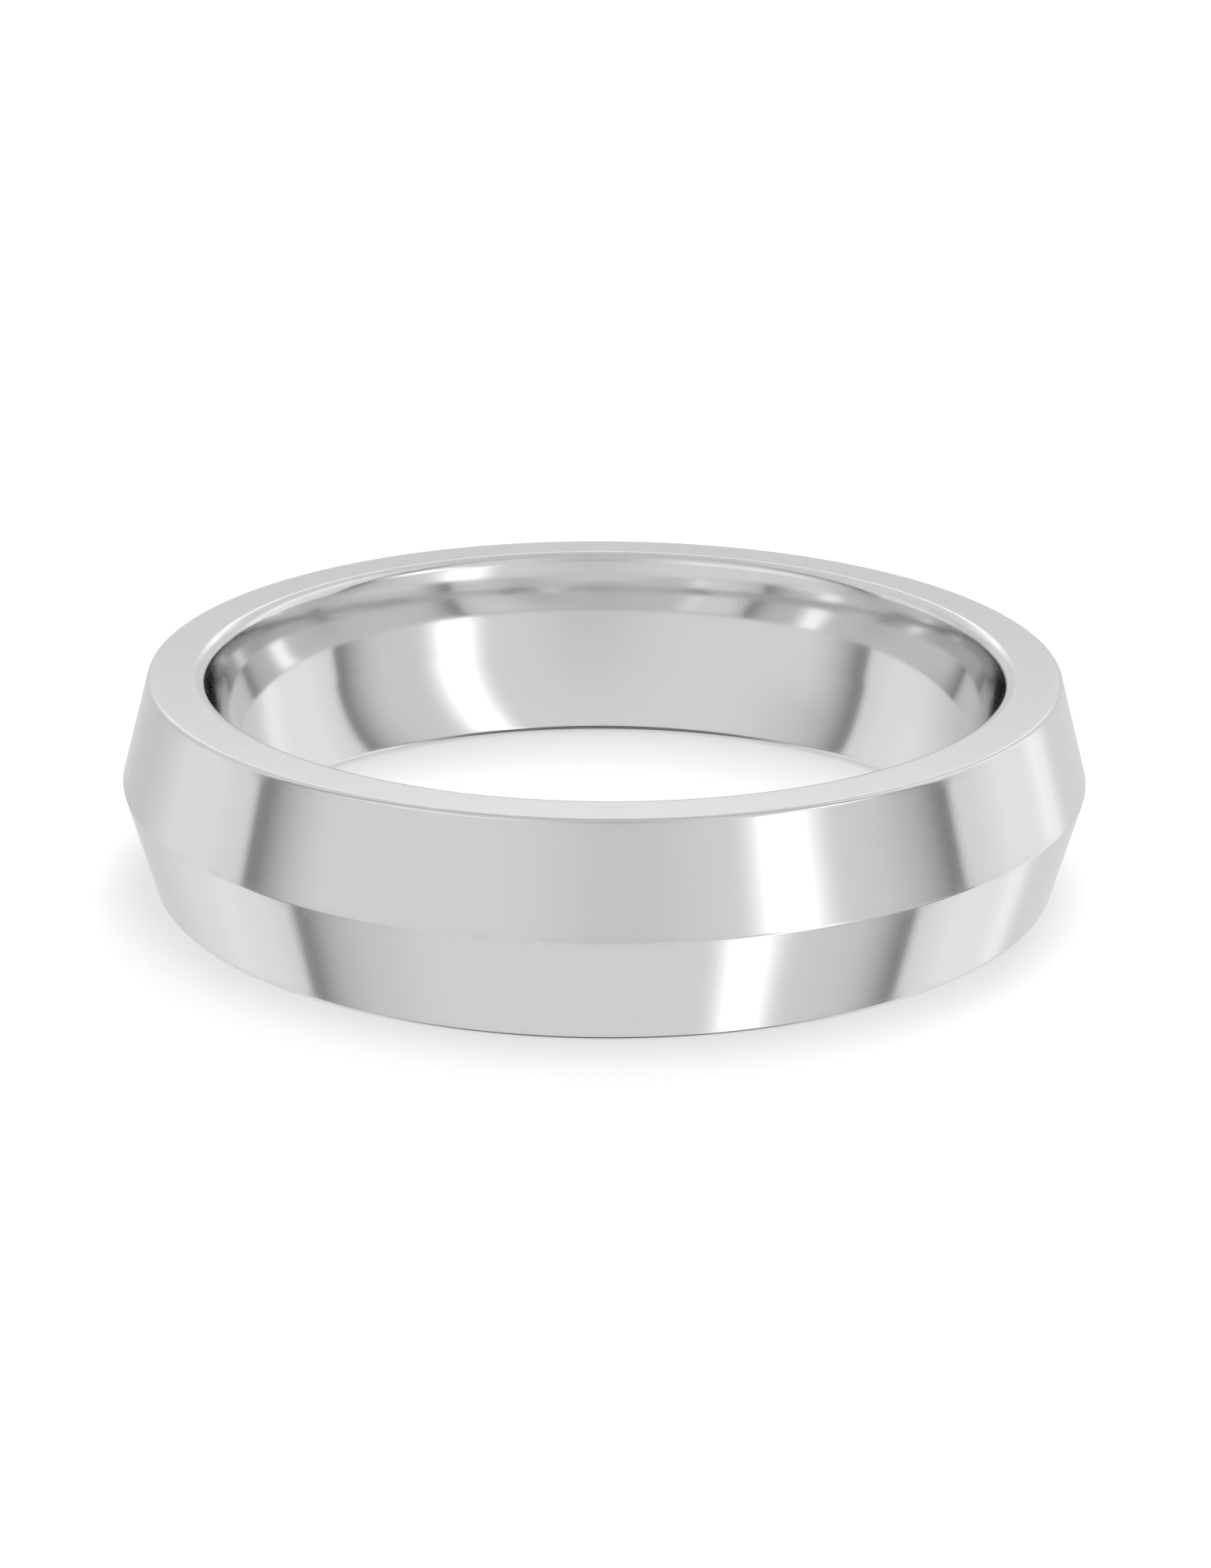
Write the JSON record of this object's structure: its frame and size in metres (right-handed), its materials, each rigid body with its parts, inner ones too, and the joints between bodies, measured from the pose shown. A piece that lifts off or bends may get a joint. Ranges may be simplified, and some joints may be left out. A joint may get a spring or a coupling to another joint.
{
  "type": "wedding band",
  "caption": "Plain knife-edge wedding band with flat sides, two bevelled outer flanks meeting in a central ridge, and a comfort-fit bore.",
  "frame": {"origin": "centre of the lower side face, on the axis of the finger hole, with the band lying flat", "axes": "+Z along the finger hole, from the lower side face to the upper one; the section is the same at every angle, so +X and +Y are free"},
  "size_m": [0.023, 0.023, 0.005],
  "materials": {
    "polished_white_metal": "mirror-polished white gold, very fine polishing lines"
  },
  "bodies": {
    "root": {"band": "polished_white_metal"}
  },
  "joints": []
}
